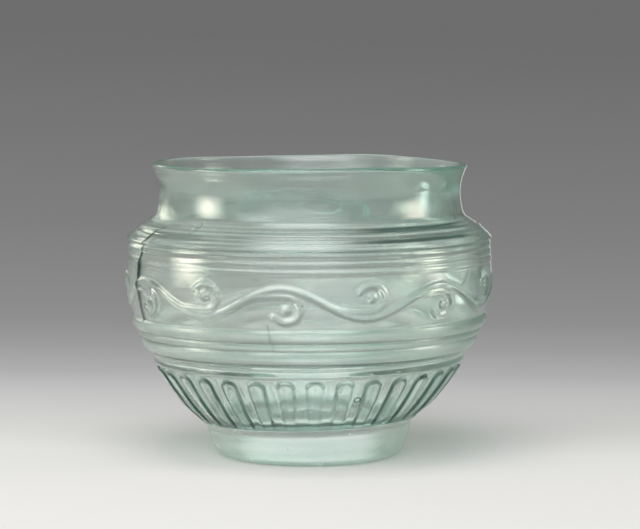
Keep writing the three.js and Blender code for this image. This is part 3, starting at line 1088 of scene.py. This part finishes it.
def sweep_material():
    """Pale paper near the cup, which is painted to fade to grey as it runs back and rises, as painted shade
    of the light's fall-off.

    Near the cup the paper takes light and shadow. Further back the eye sees its own tone, straight and
    through the glass. Right under the cup its tone is seen through the glass alone, in place of the light
    that the bowl gathers there."""
    material = bpy.data.materials.new("sweep_paper")
    material.use_nodes = True
    tree = material.node_tree
    shader = tree.nodes["Principled BSDF"]
    shader.inputs["Roughness"].default_value = 0.75
    shader.inputs["Specular IOR Level"].default_value = 0.15
    where = object_place(tree)
    x, y, z = axes(tree, where)
    tone = sweep_tone(tree, work_out(tree, "ADD", work_out(tree, "MULTIPLY_ADD", x, SWEEP_SKEW, y), z))
    tree.links.new(tone, shader.inputs["Base Color"])
    under = under_cup(tree, where)
    glow = tree.nodes.new("ShaderNodeVectorMath")
    glow.operation = "SCALE"
    tree.links.new(tone, glow.inputs[0])
    tree.links.new(work_out(tree, "MULTIPLY_ADD", under, GLOW_GAIN, 1.0), glow.inputs["Scale"])
    even = tree.nodes.new("ShaderNodeEmission")
    tree.links.new(glow.outputs["Vector"], even.inputs["Color"])
    ray = tree.nodes.new("ShaderNodeLightPath").outputs
    straight = work_out(tree, "MAXIMUM", ray["Is Camera Ray"], ray["Is Glossy Ray"])
    looked = work_out(tree, "MAXIMUM", straight, ray["Is Transmission Ray"])
    distant = work_out(tree, "MULTIPLY", looked, ramp(tree, y, EVEN_FROM, EVEN_TO, soft=True))
    through = work_out(tree, "MULTIPLY", ray["Is Transmission Ray"], under)
    blend = tree.nodes.new("ShaderNodeMixShader")
    tree.links.new(work_out(tree, "MAXIMUM", distant, through), blend.inputs["Fac"])
    tree.links.new(shader.outputs["BSDF"], blend.inputs[1])
    tree.links.new(even.outputs["Emission"], blend.inputs[2])
    tree.links.new(blend.outputs["Shader"], tree.nodes["Material Output"].inputs["Surface"])
    return material


WARM = (1.0, 0.93, 0.78)
PLAIN = (1.0, 1.0, 1.0)
AIR = (0.62, 0.63, 0.63)
AIR_STRENGTH = 0.22

# The height that the lamps face, and how bright one's middle is against a lamp that is even all over.
CUP_MIDDLE = 0.045
LAMP_MIDDLE = 2.5


def softbox(name, azimuth, elevation, distance, width, height, power, colour=PLAIN, even=0.12):
    """A rectangular lamp with soft edges that faces the cup. azimuth 0 is in front of it and 90 at its right.
    even is how far from its middle the lamp is at its full brightness, as a share of its size."""
    a, e = math.radians(azimuth), math.radians(elevation)
    centre = Vector((0, 0, CUP_MIDDLE))
    out = Vector((math.sin(a) * math.cos(e), -math.cos(a) * math.cos(e), math.sin(e)))
    data = bpy.data.lights.new(name, "AREA")
    data.shape = "RECTANGLE"
    data.size, data.size_y = width, height
    data.energy = power
    data.color = colour
    soften_edges(data, even)
    lamp = bpy.data.objects.new(name, data)
    bpy.context.collection.objects.link(lamp)
    lamp.location = centre + out * distance
    lamp.rotation_euler = (-out).to_track_quat("-Z", "Y").to_euler()
    return lamp


def soften_edges(data, even):
    """Fades a lamp from its middle to its edges, as the cloth of a softbox does."""
    data.use_nodes = True
    tree = data.node_tree
    where = tree.nodes.new("ShaderNodeNewGeometry")
    fades = []
    for across in axes(tree, where.outputs["Parametric"])[:2]:
        off = work_out(tree, "ABSOLUTE", work_out(tree, "SUBTRACT", across, 0.5))
        fades.append(ramp(tree, off, 0.5, even, soft=True))
    strength = work_out(tree, "MULTIPLY", work_out(tree, "MULTIPLY", *fades), LAMP_MIDDLE)
    tree.links.new(strength, tree.nodes["Emission"].inputs["Strength"])


def edge_card():
    """A low narrow card behind the cup at the right, which only shows as a fine light line along its edge."""
    lamp = softbox("edge_card", 165, 0, 0.42, 0.05, 0.16, 0.012)
    lamp.location.z = 0.03
    lamp.visible_camera = False


def make_lights():
    """The softboxes, and a dim grey air."""
    softbox("left_softbox", -80, 9, 0.9, 0.56, 0.76, 6.0, WARM, even=0.0)
    softbox("right_softbox", 84, 12, 0.9, 0.50, 0.68, 4.6, WARM, even=0.0)
    softbox("left_card", -138, 14, 1.1, 0.50, 0.60, 0.9, WARM)
    softbox("overhead_softbox", -10, 66, 1.1, 1.2, 1.0, 7.0)
    softbox("left_key", -42, 30, 1.2, 0.8, 0.8, 1.8)
    softbox("front_wall", -6, 24, 1.5, 2.4, 1.5, 10.5)
    edge_card()
    world = bpy.data.worlds.new("studio_air")
    world.use_nodes = True
    background = world.node_tree.nodes["Background"]
    background.inputs["Color"].default_value = (*AIR, 1)
    background.inputs["Strength"].default_value = AIR_STRENGTH
    bpy.context.scene.world = world


# The camera stands where the ellipses of the rim and the foot say, in metres. Its pitch is in degrees.
IMAGE_WIDTH = 640
FOCAL_PIXELS = 2490
AXIS_PIXEL = 309
CAMERA_DISTANCE = 0.654
CAMERA_HEIGHT = 0.1106
CAMERA_PITCH = 5.3
SENSOR = 36

# How often light may pass a face of the glass, and how often it may bounce off one.
GLASS_BOUNCES = 24
GLOSSY_BOUNCES = 8


def make_camera():
    """The camera at the photograph's angle, shifted so that the cup's axis falls on its own pixel."""
    data = bpy.data.cameras.new("camera")
    data.sensor_width = SENSOR
    data.lens = FOCAL_PIXELS * SENSOR / IMAGE_WIDTH
    data.clip_start = 0.01
    camera = bpy.data.objects.new("camera", data)
    bpy.context.collection.objects.link(camera)
    aside = (IMAGE_WIDTH / 2 - AXIS_PIXEL) * CAMERA_DISTANCE / FOCAL_PIXELS
    camera.location = (aside, -CAMERA_DISTANCE, CAMERA_HEIGHT)
    camera.rotation_euler = (math.radians(90 - CAMERA_PITCH), 0, 0)
    bpy.context.scene.camera = camera


make_camera()
make_lights()
wear(make_sweep(), sweep_material())
wear(make_bowl(), glass(
    "blue_green_glass", tint=(0.38, 0.83, 0.75), density=70, base=(0.985, 1.0, 0.97), milk=0.075,
    clear_rough=0.04, hazy_rough=0.12, striae=0.03, pits=0.12, bump=0.0001, marked=True))
foot_glass = glass(
    "milky_foot_glass", tint=(0.50, 0.84, 0.76), density=45, base=(0.94, 0.99, 0.96), milk=0.28,
    clear_rough=0.20, hazy_rough=0.30, striae=0.35, pits=0.0, bump=0.0001)
streak_foot(foot_glass.node_tree, (0.78, 0.89, 0.84), (0.95, 0.98, 0.97))
wear(make_foot(), foot_glass)

scene = bpy.context.scene
scene.view_settings.view_transform = "Standard"
scene.cycles.max_bounces = GLASS_BOUNCES
scene.cycles.transmission_bounces = GLASS_BOUNCES
scene.cycles.glossy_bounces = GLOSSY_BOUNCES
scene.cycles.transparent_max_bounces = GLASS_BOUNCES
scene.cycles.caustics_reflective = False
scene.cycles.caustics_refractive = False
